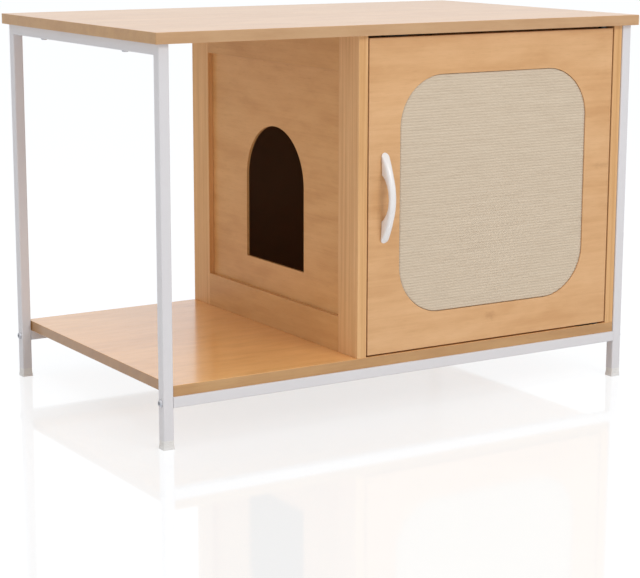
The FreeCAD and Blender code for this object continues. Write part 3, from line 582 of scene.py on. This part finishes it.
def skin(mesh, sections):
    """A closed skin through sections, each a list of places in the same order."""
    rings = [bmesh.ops.create_circle(mesh, segments=len(sections[0]), radius=1.0)["verts"]]
    for _ in sections[1:]:
        rings.append(extruded(mesh, rings[-1]))
    for ring, places in zip(rings, sections):
        for vertex, place in zip(ring, places):
            vertex.co = place
    for end in (rings[0], rings[-1]):
        bmesh.ops.edgeloop_fill(mesh, edges=ring_edges(end))


def bow_section(height):
    """Places of one ring of the bow, level with the floor; squarer where it lies on the door."""
    outer = reach(BOW_HALF, BOW_RISE, height)
    inner = reach(GAP_HALF, BOW_RISE - GRIP, height)
    middle, half = (outer + inner) / 2, (outer - inner) / 2
    places = []
    for step in range(RING_POINTS):
        angle = 2 * math.pi * step / RING_POINTS
        across, out = math.cos(angle), math.sin(angle)
        power = SQUARE_CORNER if out < 0 and inner == 0 else SOFT_CORNER
        x = math.copysign(abs(across) ** power, across) * bow_width(height) / 2
        y = math.copysign(abs(out) ** SOFT_CORNER, out) * half + middle
        places.append((handle_middle.x + x, DOOR_FACE - y, handle_middle.z + height))
    return places


bow_mesh = bmesh.new()
turns = [math.pi * station / BOW_STATIONS for station in range(BOW_STATIONS + 1)]
skin(bow_mesh, [bow_section(-math.cos(turn) * BOW_HALF * END_MARGIN) for turn in turns])
bow = finished("bow_handle", bow_mesh, white_lacquer)
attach(bow, "door")
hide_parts("door_handle")

# %% [markdown]
# ## Screws and bolts
# A fastener is a stack of rings on one axis. Most rings are round, but the rings of a socket
# follow a hexagon or a cross. A ring is written as outline, diameter and level, where 0 is the
# seat, the head has negative levels and the shank runs on to positive ones; all of them are in
# millimetres. The places come from the box of each set of plain fasteners, drawn in by the
# radius of a head.

# %% Rings that make a fastener
RING_STEPS = 24
BOLT_HEAD, BOLT_HEAD_HEIGHT = 10.5, 3.2
PAN_HEAD, PAN_HEAD_HEIGHT = 9.5, 2.4
CONNECTOR_HEAD = 9.5
SMALL_HEAD = 5.8
THREAD_ROOT = 0.84
CROSS_WAIST = 0.17


def ring_radius(outline, size, angle):
    if outline == "hexagon":
        return size / 2 / math.cos((angle + math.pi / 6) % (math.pi / 3) - math.pi / 6)
    if outline == "cross":
        return size / 2 if abs(math.sin(2 * angle)) < 0.1 else size * CROSS_WAIST
    return size / 2


def threads(size, start, end, pitch):
    """Crests and roots down a shank."""
    rings, level = [], start
    while level < end - pitch:
        rings += [("round", size, level), ("round", size * THREAD_ROOT, level + pitch / 2)]
        level += pitch
    return rings + [("round", size * THREAD_ROOT, end - 0.3), ("round", size * 0.6, end)]


def add_fastener(mesh, seat, inward, rings):
    """Stacks rings, in millimetres, along a direction."""
    inward = Vector(inward)
    first = inward.orthogonal().normalized()
    second = inward.cross(first)
    stack = []
    for outline, size, level in rings:
        places = []
        for step in range(RING_STEPS):
            angle = 2 * math.pi * step / RING_STEPS
            radius = ring_radius(outline, size, angle) * MM
            out = first * math.cos(angle) * radius + second * math.sin(angle) * radius
            places.append(Vector(seat) + out + inward * level * MM)
        stack.append(places)
    skin(mesh, stack)


def button_bolt(reach):
    """A domed head with a hexagon socket."""
    return [("hexagon", 4.0, -1.2), ("hexagon", 4.0, -3.0), ("round", 5.6, -BOLT_HEAD_HEIGHT),
            ("round", 8.4, -2.6), ("round", 10.0, -1.4), ("round", BOLT_HEAD, -0.3),
            ("round", BOLT_HEAD, 0), ("round", 6.0, 0.01)] + threads(6.0, 1.0, reach, 1.0)


def pan_screw(reach):
    """A low round head with a cross recess."""
    return [("cross", 5.0, -0.9), ("cross", 5.6, -2.2), ("round", 6.2, -PAN_HEAD_HEIGHT),
            ("round", 8.2, -1.9), ("round", 9.3, -0.9), ("round", PAN_HEAD, 0),
            ("round", 4.0, 0.01)] + threads(4.0, 0.8, reach, 1.6)


def sunk_screw(head, shank, depth, reach):
    """A cone head with a cross recess, flush with its seat."""
    return [("cross", head * 0.55, depth * 0.6), ("cross", head * 0.62, 0.02), ("round", head, 0.0),
            ("round", shank, depth)] + threads(shank, depth + 0.5, reach, 1.2)


def connector_screw(reach):
    """A sunk head with a hexagon socket, a plain neck as thick as a board, and a coarse thread."""
    return [("hexagon", 4.0, 2.4), ("hexagon", 4.0, 0.02), ("round", CONNECTOR_HEAD, 0.0),
            ("round", 7.0, 3.0), ("round", 7.0, 14.9)] + threads(5.0, 15.2, reach, 2.4)


def ends(node, axis, inset):
    """The lowest and highest place of a set along one axis, drawn in at both ends."""
    low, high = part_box(node)
    return low[axis] + inset * MM, high[axis] - inset * MM


def fastener_set(name, node, body, places, rings, material=zinc_steel):
    """Makes the fasteners at all places, each a seat and a direction, into one piece."""
    mesh = bmesh.new()
    for seat, inward in places:
        add_fastener(mesh, seat, inward, rings)
    made = finished(name, mesh, material, smooth=False)
    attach(made, body)
    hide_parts(node)


# %% Place the fasteners
UP, DOWN, FRONT = (0, 0, 1), (0, 0, -1), (0, -1, 0)
bolt_x = ends("frame_bolts", X, BOLT_HEAD_HEIGHT)
bolt_y = ends("frame_bolts", Y, BOLT_HEAD / 2)
bolt_z = ends("frame_bolts", Z, BOLT_HEAD / 2)[0]
fastener_set("socket_bolts", "frame_bolts", "cabinet",
             [((x, y, bolt_z), (-math.copysign(1, x), 0, 0)) for x in bolt_x for y in bolt_y],
             button_bolt(27.0))
for name, node in (("rail_screws", "top_panel_screws"), ("board_screws", "bottom_panel_screws")):
    low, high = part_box(node)
    fastener_set(name, node, "cabinet",
                 [((x, y, low.z + PAN_HEAD_HEIGHT * MM), UP)
                  for x in ends(node, X, PAN_HEAD / 2) for y in ends(node, Y, PAN_HEAD / 2)],
                 pan_screw((high.z - low.z) / MM - PAN_HEAD_HEIGHT))
low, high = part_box("confirmat_screws")
fastener_set("connector_screws", "confirmat_screws", "cabinet",
             [((x, y, low.z), UP) for x in ends("confirmat_screws", X, CONNECTOR_HEAD / 2)
              for y in ends("confirmat_screws", Y, CONNECTOR_HEAD / 2)],
             connector_screw((high.z - low.z) / MM))
low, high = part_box("handle_screws")
fastener_set("handle_bolts", "handle_screws", "door",
             [(((low.x + high.x) / 2, high.y - PAN_HEAD_HEIGHT * MM, z), FRONT)
              for z in ends("handle_screws", Z, PAN_HEAD / 2)],
             pan_screw((high.y - low.y) / MM - PAN_HEAD_HEIGHT))
low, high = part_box("catch_screws")
fastener_set("catch_body_screws", "catch_screws", "cabinet",
             [((x, (low.y + high.y) / 2, low.z + PAN_HEAD_HEIGHT * MM), UP)
              for x in ends("catch_screws", X, PAN_HEAD / 2)],
             pan_screw((high.z - low.z) / MM - PAN_HEAD_HEIGHT), material=black_steel)
low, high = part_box("pivot_plate_screws")
small_x = ends("pivot_plate_screws", X, SMALL_HEAD / 2)
board_faces = (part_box("bottom_panel")[1][2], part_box("top_panel")[0][2])
fastener_set("pivot_screws", "pivot_plate_screws", "cabinet",
             [((x, (low.y + high.y) / 2, z), way) for x in small_x
              for z, way in zip(board_faces, (DOWN, UP))],
             sunk_screw(SMALL_HEAD, 3.0, 1.5, 11.0), material=black_steel)
low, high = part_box("catch_plate_screw")
fastener_set("strike_screw", "catch_plate_screw", "door",
             [(((low.x + high.x) / 2, high.y, (low.z + high.z) / 2), FRONT)],
             sunk_screw(7.4, 4.0, 1.5, 10.5), material=black_steel)

# %% [markdown]
# ## Light, floor and background
# The picture is a product shot: white everywhere, soft light, faint shadow and a faint mirror
# image in the floor. An even white world gives each colour about as written; broad lamps
# in front, at the left and above add shape. The world looks brighter to the camera, and in a
# mirror image, than it shines on the cabinet, so that the background stays white.

# %% Lamps and world
world = bpy.data.worlds.new("white_room")
world.use_nodes = True
bpy.context.scene.world = world
ROOM_LIGHT = 0.575
background = world.node_tree.nodes["Background"]
background.inputs["Color"].default_value = (1.0, 1.0, 1.0, 1.0)
rays = world.node_tree.nodes.new("ShaderNodeLightPath")
seen = rays.outputs["Is Camera Ray"]
for other in ("Is Glossy Ray", "Is Transmission Ray"):
    either = world.node_tree.nodes.new("ShaderNodeMath")
    either.operation = "MAXIMUM"
    world.node_tree.links.new(seen, either.inputs[0])
    world.node_tree.links.new(rays.outputs[other], either.inputs[1])
    seen = either.outputs[0]
strength = world.node_tree.nodes.new("ShaderNodeMapRange")
strength.inputs["To Min"].default_value = ROOM_LIGHT
strength.inputs["To Max"].default_value = 1.0
world.node_tree.links.new(seen, strength.inputs["Value"])
world.node_tree.links.new(strength.outputs[0], background.inputs["Strength"])


def soft_lamp(name, place, target, size, power):
    data = bpy.data.lights.new(name, "AREA")
    data.shape = "DISK"
    data.size = size
    data.energy = power
    lamp = bpy.data.objects.new(name, data)
    lamp.location = place
    lamp.rotation_euler = (Vector(target) - Vector(place)).to_track_quat("-Z", "Y").to_euler()
    bpy.context.scene.collection.objects.link(lamp)


soft_lamp("front_lamp", (0.35, -2.3, 1.75), (0.1, 0.0, 0.3), 1.0, 18.4)
soft_lamp("left_lamp", (-3.2, -0.9, 0.9), (0.0, 0.0, 0.3), 2.0, 6.0)
soft_lamp("top_lamp", (-0.6, -0.4, 3.0), (0.0, 0.0, 0.3), 2.0, 20.0)

# %% [markdown]
# ### The floor
# A matte floor with some gloss gives the shadow and the mirror image. Part of what the camera
# sees of it is a plain glow, which lifts the rest of the floor to white.

# %% The floor
FLOOR_HALF = 12.0
GLOSS_SHARE = 0.50
GLOW_SHARE = 0.60
GLOW_STRENGTH = 1.18
floor_mesh = bmesh.new()
bmesh.ops.create_grid(floor_mesh, x_segments=1, y_segments=1, size=FLOOR_HALF)
floor_finish = Finish("white_floor", Roughness=0.9)
tree = floor_finish.tree
gloss = floor_finish.add("ShaderNodeBsdfGlossy", None, {"Color": (0.85, 0.93, 1.0, 1), "Roughness": 0.06})
matte = floor_finish.add("ShaderNodeBsdfDiffuse", None, {"Color": (0.93, 0.93, 0.93, 1)})
camera_ray = floor_finish.add("ShaderNodeLightPath", output="Is Camera Ray")
glow = floor_finish.add("ShaderNodeEmission", None, {"Color": (1, 1, 1, 1), "Strength": GLOW_STRENGTH})
surface = floor_finish.add("ShaderNodeMixShader", None, {0: GLOSS_SHARE, 1: matte, 2: gloss})
surface = floor_finish.add("ShaderNodeMixShader", None,
                           {0: camera_ray * GLOW_SHARE, 1: surface, 2: glow})
tree.links.new(surface.socket, tree.nodes["Material Output"].inputs["Surface"])
floor = finished("floor", floor_mesh, floor_finish.material, smooth=False)
floor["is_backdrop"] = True

# %% [markdown]
# ## Last settings and the printed size
# The view transform is Standard, so colours come out as written.

# %% Finish
bpy.context.scene.view_settings.view_transform = "Standard"
low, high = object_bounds()
print("box now:", [round(v, 4) for v in list(low) + list(high)])
